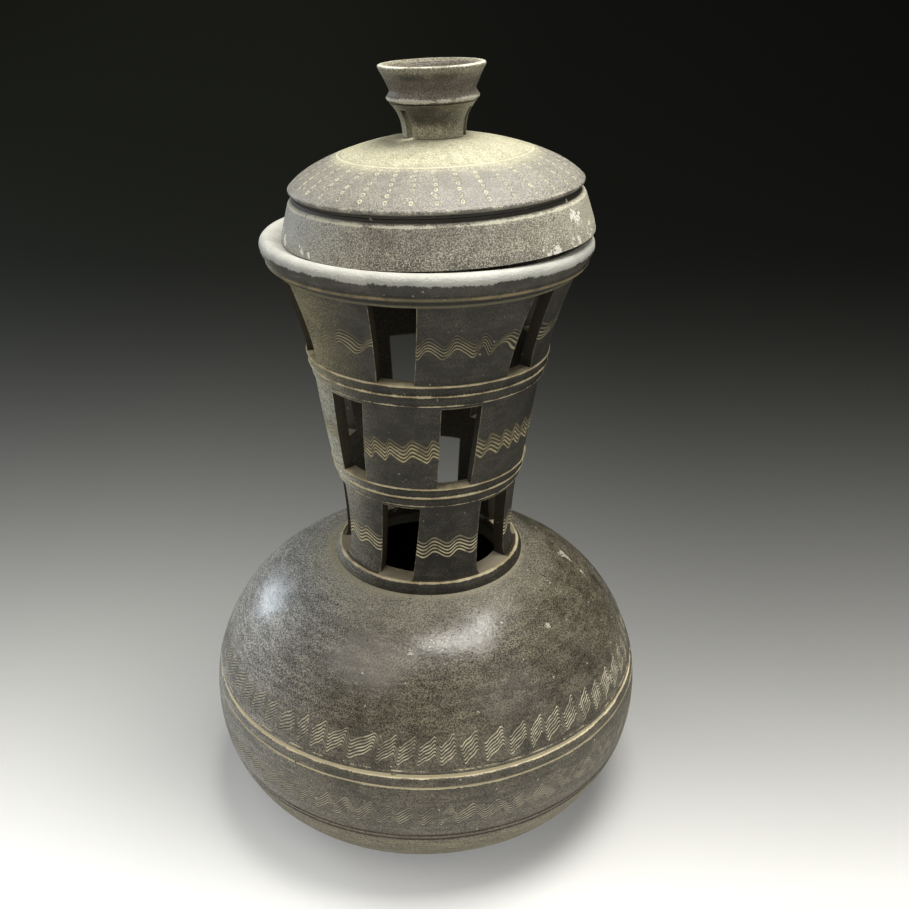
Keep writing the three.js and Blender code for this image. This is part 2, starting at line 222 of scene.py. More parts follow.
def cut_lines(points, low, high, lines):
    """The stretch of a wall between two heights, with (height, width, depth, pale) lines."""
    result = []
    spans = [(h - CUT_EDGE * w, h + CUT_EDGE * w) for h, w, _, _ in lines]
    for r, z, pale in points:
        if low < z < high and not any(a <= z <= b for a, b in spans):
            result.append((r, z, pale))
    for height, width, depth, pale in lines:
        for place, share, deposit in CUT:
            z = height + place * width
            if low < z < high:
                result.append((radius_at(points, z) - share * depth, z, deposit * pale))
    for z in (low, high):
        if z > points[0][1] and z < points[-1][1]:
            result.append((radius_at(points, z), z, 0.0))
    return sorted(result, key=lambda p: p[1])


def softened(points, reach):
    """The same open outline with its sharp corners rounded off."""
    result = [points[0]]
    for before, here, after in zip(points, points[1:], points[2:]):
        a = Vector(before[:2]) - Vector(here[:2])
        b = Vector(after[:2]) - Vector(here[:2])
        turn = math.pi - a.angle(b) if min(a.length, b.length) > TINY else 0.0
        if turn < CORNER_ANGLE:
            result.append(here)
            continue
        for side, far in ((a, before), (b, after)):
            share = min(reach / side.length, MOST_ROUNDED)
            result.append(tuple(p + (q - p) * share for p, q in zip(here, far)))
    result.append(points[-1])
    return result


def dense(points, step):
    """The same outline in steps no longer than the one given, in mm."""
    result = [points[0]]
    for a, b in zip(points, points[1:]):
        parts = max(1, math.ceil(math.hypot(b[0] - a[0], b[1] - a[1]) / step))
        for i in range(1, parts + 1):
            result.append(tuple(p + (q - p) * i / parts for p, q in zip(a, b)))
    return result


# Meshes

def spun(name, outer, inner, sides, reach=0.45):
    """Closed mesh of revolution of an outer outline, upwards, and an inner one, downwards."""
    outer, inner = ([(*point, 0.0)[:3] for point in points] for points in (outer, inner))
    outer = softened(softened(outer, reach), reach * 0.4)
    outline = dense(outer, ROW_STEP) + dense(inner, ROW_STEP * 2)
    bm = bmesh.new()
    layer = bm.verts.layers.float.new("pale")
    ring = []
    for radius, height, pale in outline:
        vert = bm.verts.new((0.0, -radius * MM, height * MM))
        vert[layer] = pale
        ring.append(vert)
    pairs = zip(ring, ring[1:] + ring[:1])
    edges = [bm.edges.new(pair) for pair in pairs if any(v.co.y < -AXIS_REACH for v in pair)]
    bmesh.ops.spin(bm, geom=ring + edges, cent=(0, 0, 0), axis=(0, 0, 1), dvec=(0, 0, 0),
                   angle=math.tau, steps=sides, use_merge=True, use_duplicate=False)
    bmesh.ops.remove_doubles(bm, verts=bm.verts, dist=TINY)
    bmesh.ops.recalc_face_normals(bm, faces=bm.faces)
    mesh = bpy.data.meshes.new(name)
    bm.to_mesh(mesh)
    bm.free()
    return mesh


def cut_openings(mesh, openings, low, high, reach):
    """Cuts tapering openings right through a ring of clay, out to a reach, and marks them."""
    bm = bmesh.new()
    for opening in openings:
        turned = Matrix.Rotation(opening["turn"], 3, "Z")
        ends = ((opening["sill"], 0.0, low), (opening["head"], opening["lean"], high))
        corners = []
        for depth in (CUT_START, reach):
            for width, lean, height in ends:
                for side in (-0.5, 0.5):
                    place = Vector(((lean + side * width) * MM, -depth * MM, height * MM))
                    corners.append(bm.verts.new(turned @ place))
        bmesh.ops.convex_hull(bm, input=corners)
    bmesh.ops.recalc_face_normals(bm, faces=bm.faces)
    cutter_mesh = bpy.data.meshes.new("cutter")
    bm.to_mesh(cutter_mesh)
    bm.free()
    cutter = bpy.data.objects.new("cutter", cutter_mesh)
    wall = bpy.data.objects.new("wall", mesh)
    for obj in (cutter, wall):
        bpy.context.collection.objects.link(obj)
    cut = wall.modifiers.new("cut", "BOOLEAN")
    cut.operation = "DIFFERENCE"
    cut.solver = "EXACT"
    cut.object = cutter
    graph = bpy.context.evaluated_depsgraph_get()
    result = bpy.data.meshes.new_from_object(wall.evaluated_get(graph))
    for obj in (cutter, wall):
        bpy.data.objects.remove(obj)
    bpy.data.meshes.remove(cutter_mesh)
    mark_openings(result, openings, low, high)
    return result


def opening_distance(openings, low, high, point):
    """Distance in mm along the wall from a point to the nearest opening."""
    radius = math.hypot(point.x, point.y) / MM
    height = point.z / MM
    turn = math.atan2(point.x, -point.y)
    share = min(max((height - low) / (high - low), 0.0), 1.0)
    best = FAR_OFF
    for opening in openings:
        away = (turn - opening["turn"] + math.pi) % math.tau - math.pi
        if abs(away) < math.pi / 2:
            half = (opening["sill"] + (opening["head"] - opening["sill"]) * share) / 2
            aside = abs(radius * math.sin(away) - opening["lean"] * share) - half
            best = min(best, math.hypot(max(aside, 0.0), max(height - high, 0.0)))
    return best


def mark_openings(mesh, openings, low, high):
    """Writes the distance to the openings on the wall, and marks the cut faces."""
    edge = mesh.attributes.get("edge") or mesh.attributes.new("edge", "FLOAT", "POINT")
    for i, vert in enumerate(mesh.vertices):
        edge.data[i].value = opening_distance(openings, low, high, vert.co)
    cut = mesh.attributes.new("cut", "FLOAT", "FACE")
    for i, face in enumerate(mesh.polygons):
        near = opening_distance(openings, low, high, face.center)
        outward = Vector((face.center.x, face.center.y, 0.0)).normalized()
        sideways = abs(face.normal.dot(outward)) < SIDEWAYS_BELOW
        cut.data[i].value = 1.0 if near < TOUCHES and sideways else 0.0


def mark_sills(mesh, openings, low, high):
    """Writes the distance to the openings above onto a ring that carries their sills."""
    edge = mesh.attributes.new("edge", "FLOAT", "POINT")
    for i, vert in enumerate(mesh.vertices):
        level = Vector((vert.co.x, vert.co.y, low * MM))
        on_top = vert.co.z > (low - SILL_DEPTH) * MM
        edge.data[i].value = FAR_OFF
        if on_top:
            edge.data[i].value = opening_distance(openings, low - CUT_BELOW, high, level)


def wobble(mesh, amount):
    """Slight unevenness of a piece thrown and dried by hand."""
    for vert in mesh.vertices:
        radius = math.hypot(vert.co.x, vert.co.y)
        if radius < TINY:
            continue
        broad = noise.noise(vert.co * BROAD_WOBBLE)
        fine = noise.noise(vert.co * FINE_WOBBLE)
        swell = 1.0 + (broad + fine * FINE_SHARE) * amount * MM / radius
        vert.co.x *= swell
        vert.co.y *= swell


def put(node, mesh, body, place, finish, amount=0.25):
    """Puts a finished piece in the place of its CAD node."""
    wobble(mesh, amount)
    mesh.transform(place)
    mesh.shade_smooth()
    mesh.set_sharp_from_angle(angle=SHARP_ANGLE)
    mesh.materials.clear()
    mesh.materials.append(finish)
    piece = bpy.data.objects.new("clay_" + node, mesh)
    bpy.context.collection.objects.link(piece)
    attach(piece, body)
    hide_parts(node)


# Titles of the node groups' sockets that carry vectors
VECTOR_TITLES = ("Vector", "Foot", "Centre")

# Noises of the clay: scale, detail, roughness, and the levels that become 0 and 1
CLAY_NOISES = (("Cloud", 16.0, 5.0, 0.55, 0.32, 0.68), ("Mottle", 95.0, 4.0, 0.6, 0.35, 0.65),
               ("Grain", 1250.0, 2.0, 0.6, 0.28, 0.72), ("Grit", 1900.0, 1.0, 0.6, 0.3, 0.7),
               ("Specks", 420.0, 1.5, 0.5, 0.73, 0.77), ("Pits", 410.0, 1.5, 0.5, 0.285, 0.25),
               ("Streak", 60.0, 3.0, 0.6, 0.35, 0.65))
STREAK_FLATNESS = 9.0


# Node sheets: short ways to add shader nodes

class Sheet:
    """A node tree, with a method for each kind of node; each returns its output."""

    def __init__(self, tree):
        self.tree = tree

    def wire(self, socket, value):
        if isinstance(value, bpy.types.NodeSocket):
            self.tree.links.new(value, socket)
        else:
            socket.default_value = value

    def math(self, operation, a, b=0.0, c=0.0):
        node = self.tree.nodes.new("ShaderNodeMath")
        node.operation = operation
        for socket, value in zip(node.inputs, (a, b, c)):
            self.wire(socket, value)
        return node.outputs[0]

    def add(self, first, *others):
        for value in others:
            first = self.math("ADD", first, value)
        return first

    def less(self, a, b):
        """a less b."""
        return self.math("SUBTRACT", a, b)

    def times(self, first, *others):
        for value in others:
            first = self.math("MULTIPLY", first, value)
        return first

    def most(self, a, b):
        """The larger of the two."""
        return self.math("MAXIMUM", a, b)

    def step(self, value, low, high, start=0.0, end=1.0):
        """Goes smoothly from start to end while the value goes from low to high."""
        node = self.tree.nodes.new("ShaderNodeMapRange")
        node.interpolation_type = "SMOOTHSTEP"
        for name, v in (("Value", value), ("From Min", low), ("From Max", high),
                        ("To Min", start), ("To Max", end)):
            self.wire(node.inputs[name], v)
        return node.outputs["Result"]

    def swing(self, value, amount):
        """How far a value from 0 to 1 is from its middle, times an amount."""
        return self.times(self.less(value, 0.5), amount)

    def span(self, value, rise, fall):
        """1 between two soft ends, 0 outside; each end is (where 0, where 1)."""
        return self.times(self.step(value, *rise), self.step(value, *fall))

    def blend(self, factor, a, b, amount=None):
        """Colour a, turning into colour b as the factor, times an amount, goes up to 1."""
        if amount is not None:
            factor = self.times(factor, amount)
        node = self.tree.nodes.new("ShaderNodeMix")
        node.data_type = "RGBA"
        self.wire(node.inputs["Factor"], factor)
        for socket, value in ((node.inputs[6], a), (node.inputs[7], b)):
            self.wire(socket, value if isinstance(value, bpy.types.NodeSocket) else (*value, 1.0))
        return node.outputs[2]

    def vectors(self, operation, a, b):
        """Outputs of an operation on two vectors."""
        node = self.tree.nodes.new("ShaderNodeVectorMath")
        node.operation = operation
        self.wire(node.inputs[0], a)
        self.wire(node.inputs[1], b)
        return node.outputs

    def axes(self, vector):
        """A vector's three parts."""
        node = self.tree.nodes.new("ShaderNodeSeparateXYZ")
        self.wire(node.inputs[0], vector)
        return node.outputs

    def scaled(self, vector, factor):
        node = self.tree.nodes.new("ShaderNodeVectorMath")
        node.operation = "SCALE"
        self.wire(node.inputs[0], vector)
        self.wire(node.inputs["Scale"], factor)
        return node.outputs[0]

    def noise(self, vector, scale, detail=2.0, roughness=0.5):
        node = self.tree.nodes.new("ShaderNodeTexNoise")
        self.wire(node.inputs["Vector"], vector)
        self.wire(node.inputs["Scale"], scale)
        node.inputs["Detail"].default_value = detail
        node.inputs["Roughness"].default_value = roughness
        return node.outputs["Fac"]

    def attribute(self, name):
        node = self.tree.nodes.new("ShaderNodeAttribute")
        node.attribute_name = name
        return node.outputs["Fac"]

    def group(self, group, **values):
        node = self.tree.nodes.new("ShaderNodeGroup")
        node.node_tree = group
        for name, value in values.items():
            self.wire(node.inputs[name], value)
        return node.outputs


def new_group(name, inputs, outputs):
    """An empty node group, its sheet, and its input and output sockets by name."""
    tree = bpy.data.node_groups.new(name, "ShaderNodeTree")
    for titles, way in ((inputs, "INPUT"), (outputs, "OUTPUT")):
        for title in titles.split():
            kind = "Vector" if title in VECTOR_TITLES else "Float"
            tree.interface.new_socket(title, in_out=way, socket_type="NodeSocket" + kind)
    start = tree.nodes.new("NodeGroupInput")
    end = tree.nodes.new("NodeGroupOutput")
    return tree, Sheet(tree), start.outputs, end.inputs


def round_place_group():
    """Turn from the front in radians, radius and height in mm, about a piece's own axis.

    Side is the turn folded at the sides, so that it has no step at the back.
    """
    tree, s, given, out = new_group("round_place", "Vector Foot Tilt",
                                    "Turn Side Radius Height")
    level = tree.nodes.new("ShaderNodeVectorRotate")
    level.rotation_type = "Y_AXIS"
    s.wire(level.inputs["Vector"], s.vectors("SUBTRACT", given["Vector"], given["Foot"])[0])
    s.wire(level.inputs["Angle"], given["Tilt"])
    x, y, z = s.axes(level.outputs[0])
    s.wire(out["Turn"], s.math("ARCTAN2", x, s.times(y, -1.0)))
    across = s.math("SQRT", s.add(s.times(x, x), s.times(y, y)))
    s.wire(out["Side"], s.math("ARCSINE", s.math("DIVIDE", x, across)))
    s.wire(out["Radius"], s.times(across, 1000.0))
    s.wire(out["Height"], s.times(z, 1000.0))
    return tree


def clay_grain_group():
    """Clouds, mottling, grit and pale specks of coarse stoneware."""
    tree, s, given, out = new_group("clay_grain", "Vector",
                                    "Cloud Mottle Grain Grit Streak Rough Specks Pits")
    flat = s.vectors("MULTIPLY", given["Vector"], (1.0, 1.0, STREAK_FLATNESS))[0]
    for title, scale, detail, roughness, low, high in CLAY_NOISES:
        vector = flat if title == "Streak" else given["Vector"]
        s.wire(out[title], s.step(s.noise(vector, scale, detail, roughness), low, high))
    s.wire(out["Rough"], s.noise(given["Vector"], 240.0, 3.0, 0.7))
    return tree


def combed_waves_group():
    """A band of parallel waves drawn with a comb round a wall."""
    tree, s, given, out = new_group(
        "combed_waves", "Vector Turn Height Middle Count Swing Pitch Lines Skew Wander",
        "Line Ridge Fill Rise")
    drift = s.less(s.noise(given["Vector"], 26.0, 1.0), 0.5)
    lift = s.less(s.noise(given["Vector"], 40.0, 2.0), 0.5)
    strayed = s.times(drift, s.times(given["Wander"], 9.0))
    phase = s.add(s.times(given["Turn"], given["Count"]), strayed)
    bent = s.add(phase, s.times(s.math("SINE", phase), given["Skew"]))
    wave = s.times(s.math("SINE", bent), s.times(given["Swing"], 0.5))
    wave = s.times(wave, s.add(0.9, s.times(lift, 1.3)))
    wave = s.add(wave, s.times(lift, given["Wander"]))
    off = s.less(s.less(given["Height"], given["Middle"]), wave)
    place = s.math("DIVIDE", off, given["Pitch"])
    half = s.times(given["Lines"], 0.5)
    band = s.step(s.math("ABSOLUTE", place), s.add(half, 0.12), s.less(half, 0.1))
    across = s.math("ABSOLUTE", s.less(s.math("FRACT", s.add(place, half)), 0.5))
    s.wire(out["Line"], s.times(band, s.step(across, 0.34, 0.14)))
    s.wire(out["Ridge"], s.times(band, s.step(across, 0.3, 0.42)))
    s.wire(out["Fill"], s.step(place, half, -0.5, 0.3, 1.0))
    s.wire(out["Rise"], s.math("COSINE", bent))
    return tree


def ring_stamps_group():
    """Rows of small rings stamped outwards over a lid."""
    tree, s, given, out = new_group(
        "ring_stamps", "Vector Turn Radius Rows Inner Outer Pitch Size", "Ring Dot")
    lean = s.swing(s.noise(given["Vector"], 14.0, 1.0), 0.5)
    turns = s.times(s.math("DIVIDE", given["Turn"], math.tau), given["Rows"])
    column = s.less(s.math("FRACT", s.add(s.add(turns, 100.5), lean)), 0.5)
    width = s.math("DIVIDE", s.times(given["Radius"], math.tau), given["Rows"])
    aside = s.times(column, width)
    along = s.math("DIVIDE", s.less(given["Radius"], given["Inner"]), given["Pitch"])
    outward = s.times(s.less(s.math("FRACT", along), 0.5), given["Pitch"])
    far = s.math("SQRT", s.add(s.times(aside, aside), s.times(outward, outward)))
    past = s.step(given["Radius"], s.less(given["Inner"], 0.1), s.add(given["Inner"], 0.1))
    within = s.times(past, s.step(given["Radius"], given["Outer"], s.less(given["Outer"], 0.4)))
    away = s.math("ABSOLUTE", s.less(far, given["Size"]))
    s.wire(out["Ring"], s.times(within, s.step(away, 0.5, 0.15)))
    s.wire(out["Dot"], s.times(within, s.step(far, given["Size"], s.times(given["Size"], 0.4))))
    return tree


def patch_group():
    """A ragged patch round a place on the surface."""
    tree, s, given, out = new_group("ragged_patch", "Vector Centre Reach Rough", "Patch")
    gap = s.vectors("DISTANCE", given["Vector"], given["Centre"])["Value"]
    near = s.math("DIVIDE", gap, given["Reach"])
    ragged = s.times(s.less(given["Rough"], 0.42), 5.0)
    s.wire(out["Patch"], s.step(s.add(near, ragged), 1.0, 0.8))
    return tree


ROUND_PLACE = round_place_group()
CLAY_GRAIN = clay_grain_group()
COMBED_WAVES = combed_waves_group()
RING_STAMPS = ring_stamps_group()
RAGGED_PATCH = patch_group()

RELIEF_DEPTH = 0.6

# Heights and radii of what is painted on the clay, in mm; a span has two soft ends
HALO_RADIUS = 88.0
DUST_RING_RADIUS = 58.0
GLOSS_LOW = 88.0
GLOSS_HIGH = 112.0
UPPER_NECK_LOW = 250.0
UPPER_NECK_HIGH = 270.0
NECK_TOP_LINE = 309.0
# Painted shade under the collar
COLLAR_SHADE = ((309.4, 309.8), (312.8, 312.0))
COLLAR_LINE = ((312.6, 313.2), (314.6, 314.0))
# Painted shade in the groove below the lid's ridge
DOME_GROOVE = ((18.4, 19.2), (23.0, 22.0))
DOME_GROOVE_RADIUS = 71.2
DOME_CIRCLE_RADIUS = 46.8

# Stamped rings of the dome: rows round it, pitch outwards and radius, in mm
STAMP_ROWS = 37.0
STAMP_PITCH = 3.2
STAMP_SIZE = 0.75
OUTER_STAMPS = (47.6, 70.4)
INNER_STAMPS = (24.0, 46.0)

# Flakes of pale deposit, from (place, reach) in mm
SHOULDER_FLAKES = (((81, 4, 135), 4), ((78, 6, 136), 3.4), ((89, -4, 129), 2),
                   ((85, -28, 129), 2.2), ((99, -59, 96), 3.5), ((97, -62, 100), 2.5),
                   ((64, -59, 131), 1.8), ((62, -60, 130), 1.5), ((-75, -44, 131), 2),
                   ((-82, -22, 132), 1.8), ((-8, -84, 133), 1.8))
LID_FLAKES = (((67, -41, 343), 4.9), ((70, -38, 340), 4.4), ((79, -28, 335), 4.6),
              ((79, -29, 331), 4.6), ((72, -42, 330), 4.8), ((68, -47, 329), 4.4),
              ((60, -57, 329), 4.1), ((56, -61, 328), 3.6), ((-65, -24, 326), 3.8),
              ((-67, -17, 328), 3), ((-56, -43, 326), 2.4), ((-52, -48, 325), 2))

# Combed waves: height, waves round the wall, swing, pitch of the lines, lines, skew and
# wander; for the three tiers, upwards, with the colours of the lines and between them
UPPER_BODY_WAVES = (96.4, 64.0, 5.5, 1.6, 6.0, -0.7, 1.0)
LOWER_BODY_WAVES = (61.0, 70.0, 6.0, 1.55, 5.0, -0.5, 1.2)
NECK_WAVES = (
    ((170.5, 22.0, 3.2, 2.1, 5.0, 0.15, 0.6), (0.78, 0.69, 0.45), (0.020, 0.016, 0.009)),
    ((230.0, 36.0, 4.2, 2.1, 5.0, 0.5, 1.3), (0.56, 0.48, 0.28), (0.085, 0.062, 0.026)),
    ((287.0, 30.0, 5.2, 1.7, 5.0, 0.3, 2.4), (0.34, 0.30, 0.18), (0.010, 0.008, 0.005)))


class Finish(Sheet):
    """A clay material begun: its place round the axis, its grain, its colour so far."""

    def __init__(self, name, foot=(0.0, 0.0, 0.0), tilt=0.0):
        self.material = bpy.data.materials.new(name)
        self.material.use_nodes = True
        super().__init__(self.material.node_tree)
        self.shader = self.tree.nodes["Principled BSDF"]
        coordinates = self.tree.nodes.new("ShaderNodeTexCoord")
        self.vector = coordinates.outputs["Object"]
        place = self.group(ROUND_PLACE, Vector=self.vector, Foot=foot, Tilt=tilt)
        self.turn, self.side, self.radius, self.height = place
        grain = self.group(CLAY_GRAIN, Vector=self.vector)
        self.cloud, self.mottle, self.grain, self.grit, self.streak = grain[:5]
        self.rough, self.specks, self.pits = grain[5:]
        self.pale = self.attribute("pale")

    def clay(self, dark, middle, light):
        """Base colour of the clay, from clouds and mottling."""
        colour = self.blend(self.cloud, dark, middle)
        return self.blend(self.mottle, colour, light, 0.55)

    def gritted(self, colour, amount):
        """The same colour with fine light and dark grit."""
        grit = self.add(self.times(self.grain, 0.55), self.times(self.grit, 0.45))
        factor = self.step(grit, 0.22, 0.82, 1.0 - 0.6 * amount, 1.0 + 1.3 * amount)
        return self.scaled(colour, factor)

    def deposit(self, low=0.35, high=0.6):
        """Ragged cover of the pale deposit that the outlines carry."""
        worn = self.add(self.pale, self.swing(self.mottle, 0.35))
        worn = self.add(worn, self.swing(self.grain, 0.25))
        return self.step(worn, low, high)

    def waves(self, middle, count, swing, pitch, lines, skew, wander):
        """A band of combed waves round the wall."""
        return self.group(COMBED_WAVES, Vector=self.vector, Turn=self.turn,
                                Height=self.height, Middle=middle, Count=count, Swing=swing,
                                Pitch=pitch, Lines=lines, Skew=skew, Wander=wander)

    def stamps(self, inner, outer):
        """Rows of stamped rings between two radii."""
        return self.group(RING_STAMPS, Vector=self.vector, Turn=self.turn,
                                Radius=self.radius, Rows=STAMP_ROWS, Inner=inner, Outer=outer,
                                Pitch=STAMP_PITCH, Size=STAMP_SIZE)

    def paint(self, mask, tint, amount=None):
        """Lays a colour over what is there, where the mask is, times an amount."""
        self.colour = self.blend(mask, self.colour, tint, amount)

    def patches(self, places):
        """Ragged patches round points, from (point, reach) in mm."""
        found = 0.0
        for middle, reach in places:
            centre = tuple(v * MM for v in middle)
            patch = self.group(RAGGED_PATCH, Vector=self.vector, Centre=centre,
                            Reach=reach * MM, Rough=self.rough)["Patch"]
            found = self.most(found, patch)
        return found

    def finish(self, roughness, relief):
        """The finished material, with its relief as a bump."""
        bump = self.tree.nodes.new("ShaderNodeBump")
        bump.inputs["Strength"].default_value = 1.0
        bump.inputs["Distance"].default_value = RELIEF_DEPTH * MM
        self.wire(bump.inputs["Height"], relief)
        self.wire(self.shader.inputs["Base Color"], self.colour)
        self.wire(self.shader.inputs["Roughness"], roughness)
        self.wire(self.shader.inputs["Normal"], bump.outputs["Normal"])
        return self.material


def body_finish():
    """Bowl and shoulder: half-glossy brown clay, painted light and sheen on the left, painted
    sheen and dust round the neck.
    """
    f = Finish("body_clay")
    f.colour = f.clay((0.034, 0.029, 0.020), (0.078, 0.068, 0.047), (0.125, 0.111, 0.081))
    low = f.step(f.height, 82.0, 55.0)
    f.paint(low, (0.165, 0.147, 0.112), 0.5)
    # Painted light and sheen: the left side paler and bluish grey, most on the shoulder
    left = f.times(f.step(f.side, -0.3, -1.3), f.step(f.cloud, 0.0, 1.2, 0.6, 1.0),
                   f.step(f.height, 90.0, GLOSS_HIGH, 0.55, 0.75))
    f.paint(left, (0.42, 0.42, 0.405))
    foot = f.step(f.height, FOOT_LINE, FOOT_LINE - 3.0)
    f.paint(foot, (0.20, 0.175, 0.11), 0.6)
    f.colour = f.scaled(f.colour, f.step(f.streak, 0.0, 1.0, 0.8, 1.2))
    # Painted sheen mixed with dust round the foot of the neck, stronger on the left and weaker on
    # the right, and a ring of dust at its foot
    sheen_and_dust_halo = f.add(f.step(f.radius, HALO_RADIUS, 54.0), f.times(f.less(f.cloud, 0.6), 0.5))
    sheen_and_dust_halo = f.times(f.step(sheen_and_dust_halo, 0.1, 1.2), f.step(f.side, -0.2, -1.4, 0.75, 0.95),
                   f.step(f.side, 0.2, 1.2, 1.0, 0.45))
    f.colour = f.gritted(f.colour, 0.8)
    f.paint(sheen_and_dust_halo, f.gritted((0.33, 0.312, 0.25), 0.45))
    ring = f.times(f.step(f.radius, DUST_RING_RADIUS, 53.5), f.step(f.mottle, -0.6, 0.5))
    f.paint(ring, (0.42, 0.38, 0.27), 0.7)
    # Combed waves above the pale line and below it
    upper = f.waves(*UPPER_BODY_WAVES)
    lower = f.waves(*LOWER_BODY_WAVES)
    worn = f.times(f.step(f.mottle, 0.0, 0.7, 0.4, 1.0),
                   f.step(f.rough, 0.35, 0.55, 0.35, 1.0))
    ridge = f.most(upper["Ridge"], lower["Ridge"])
    f.paint(ridge, (0.022, 0.019, 0.013), 0.8)
    f.paint(f.times(lower["Line"], worn), (0.50, 0.46, 0.33))
    dim = f.step(upper["Rise"], -0.7, 0.2, 0.45, 1.0)
    dim = f.times(f.step(f.side, -1.1, -0.2, 0.65, 1.0), dim)
    f.paint(f.times(upper["Line"], f.times(worn, dim)), (0.55, 0.50, 0.35))
    # Deposit in the cut lines, browner in the lowest ones
    cream = f.blend(f.step(f.height, 50.0, 70.0), (0.10, 0.075, 0.04), (0.70, 0.61, 0.40))
    f.paint(f.deposit(), cream)
    f.paint(f.specks, (0.62, 0.60, 0.52), 0.75)
    f.paint(f.pits, (0.015, 0.013, 0.010), 0.7)
    flakes = f.patches(SHOULDER_FLAKES)
    flakes = f.times(flakes, f.step(f.grain, 0.0, 0.5, 0.4, 0.8))
    f.paint(flakes, (0.55, 0.53, 0.44))
    inside = f.less(1.0, f.attribute("outer"))
    f.paint(inside, (0.10, 0.085, 0.06), 0.8)
    gloss = f.step(f.height, GLOSS_LOW, GLOSS_HIGH)
    gloss = f.times(gloss, f.step(f.cloud, 0.0, 0.9, 0.8, 1.0))
    roughness = f.add(f.less(0.56, f.times(gloss, 0.3)), f.swing(f.grit, 0.16),
                      f.swing(f.grain, f.times(gloss, 0.26)))
    relief = f.add(f.times(f.grain, f.less(0.16, f.times(gloss, 0.15))),
                   f.times(f.mottle, 0.12), f.times(f.rough, f.less(0.4, f.times(gloss, 0.2))))
    relief = f.less(relief, f.times(f.most(upper["Line"], lower["Line"]), 0.55))
    relief = f.less(relief, f.times(f.pits, 0.5))
    return f.finish(roughness, relief)


def neck_finish():
    """Neck: charcoal clay, paler on its left with kiln ashes and painted light, combed waves,
    dusty sills and arrises.
    """
    f = Finish("neck_clay", foot=(NECK_OFFSET * MM, 0.0, 0.0))
    f.colour = f.clay((0.011, 0.0095, 0.0065), (0.027, 0.0235, 0.016), (0.053, 0.047, 0.033))
    # Kiln ashes and painted light: the left side paler, olive-yellow on the upper tier and grey
    # lower down
    ash_and_left_light = f.times(f.step(f.side, -0.4, -1.3), f.step(f.cloud, -0.3, 0.9, 0.55, 1.0),
                  f.step(f.height, UPPER_NECK_HIGH, UPPER_NECK_LOW, 0.8, 1.0),
                  f.step(f.height, 185.0, 205.0, 0.5, 1.0))
    upper = f.step(f.height, UPPER_NECK_LOW, UPPER_NECK_HIGH)
    tint = f.blend(upper, (0.42, 0.41, 0.34), (0.31, 0.28, 0.16))
    f.paint(ash_and_left_light, tint)
    f.colour = f.scaled(f.colour, f.step(f.streak, 0.0, 1.0, 0.86, 1.14))
    # The neck's inner faces a lighter brown
    outer = f.attribute("outer")
    f.paint(f.less(0.7, f.times(outer, 0.7)), (0.052, 0.041, 0.025))
    f.colour = f.gritted(f.colour, 0.8)
    line = 0.0
    for band, light, between in NECK_WAVES:
        waves = f.waves(*band)
        f.paint(f.times(waves["Ridge"], outer), between, 0.7)
        worn = f.times(f.step(f.rough, 0.3, 0.5, 0.4, 1.0),
                       f.step(f.mottle, -0.1, 0.5, 0.6, 1.0), waves["Fill"])
        f.paint(f.times(waves["Line"], outer, worn), light)
        line = f.most(line, waves["Line"])
    line = f.times(line, outer)
    # Pale arrises of the windows, dark brown cut faces
    cut = f.attribute("cut")
    near = f.attribute("edge")
    dust = f.times(f.step(near, 0.75, 0.25), f.less(1.0, outer),
                   f.step(f.cloud, -0.5, 0.8, 0.3, 0.9))
    f.paint(f.times(dust, f.less(1.0, cut)), (0.36, 0.31, 0.22))
    arris = f.times(f.step(near, 0.55, 0.2), f.less(1.0, cut), outer,
                    f.step(f.rough, 0.4, 0.6, 0.1, 0.75))
    f.paint(arris, (0.32, 0.28, 0.17))
    f.paint(cut, (0.035, 0.027, 0.016), 0.75)
    tint = f.blend(f.mottle, (0.42, 0.34, 0.19), (0.66, 0.57, 0.37))
    f.paint(f.deposit(0.3, 0.6), tint)
    high = f.step(f.math("ABSOLUTE", f.less(f.height, NECK_TOP_LINE)), 0.9, 0.3)
    f.paint(f.times(high, outer), (0.20, 0.18, 0.10), 0.6)
    f.paint(f.specks, (0.5, 0.48, 0.40), 0.5)
    roughness = f.add(0.55, f.swing(f.grain, 0.2))
    relief = f.add(f.times(f.grain, 0.14), f.times(f.mottle, 0.12))
    relief = f.less(relief, f.times(line, 0.9))
    f.shader.inputs["Specular IOR Level"].default_value = 0.35
    return f.finish(roughness, relief)


def rim_finish():
    """Mouth: pale kiln ashes on the lip, dark collar with an ochre line and painted shade under
    it, paler at the far left with kiln ashes and painted light.
    """
    f = Finish("rim_clay", foot=(NECK_OFFSET * MM, 0.0, 0.0))
    dark = f.clay((0.021, 0.018, 0.012), (0.042, 0.038, 0.027), (0.084, 0.077, 0.058))
    # Paler at the far left: kiln ashes and painted light
    dark = f.blend(f.step(f.side, -0.9, -1.4), dark, (0.33, 0.31, 0.23), 0.8)
    # Painted shade: nearly black on the underside of the collar
    under = f.span(f.height, *COLLAR_SHADE)
    dark = f.blend(under, dark, (0.012, 0.010, 0.006), 0.9)
    dark = f.gritted(dark, 0.65)
    light = f.clay((0.36, 0.36, 0.325), (0.46, 0.46, 0.415), (0.54, 0.53, 0.48))
    f.colour = f.blend(f.deposit(0.35, 0.65), dark, light)
    line = f.span(f.height, *COLLAR_LINE)
    line = f.times(line, f.step(f.mottle, 0.0, 0.7, 0.4, 0.9))
    f.paint(line, (0.30, 0.23, 0.11))
    f.paint(f.specks, (0.55, 0.53, 0.46), 0.5)
    roughness = f.add(0.6, f.swing(f.grain, 0.2))
    relief = f.add(f.times(f.grain, 0.2), f.times(f.mottle, 0.2))
    return f.finish(roughness, relief)


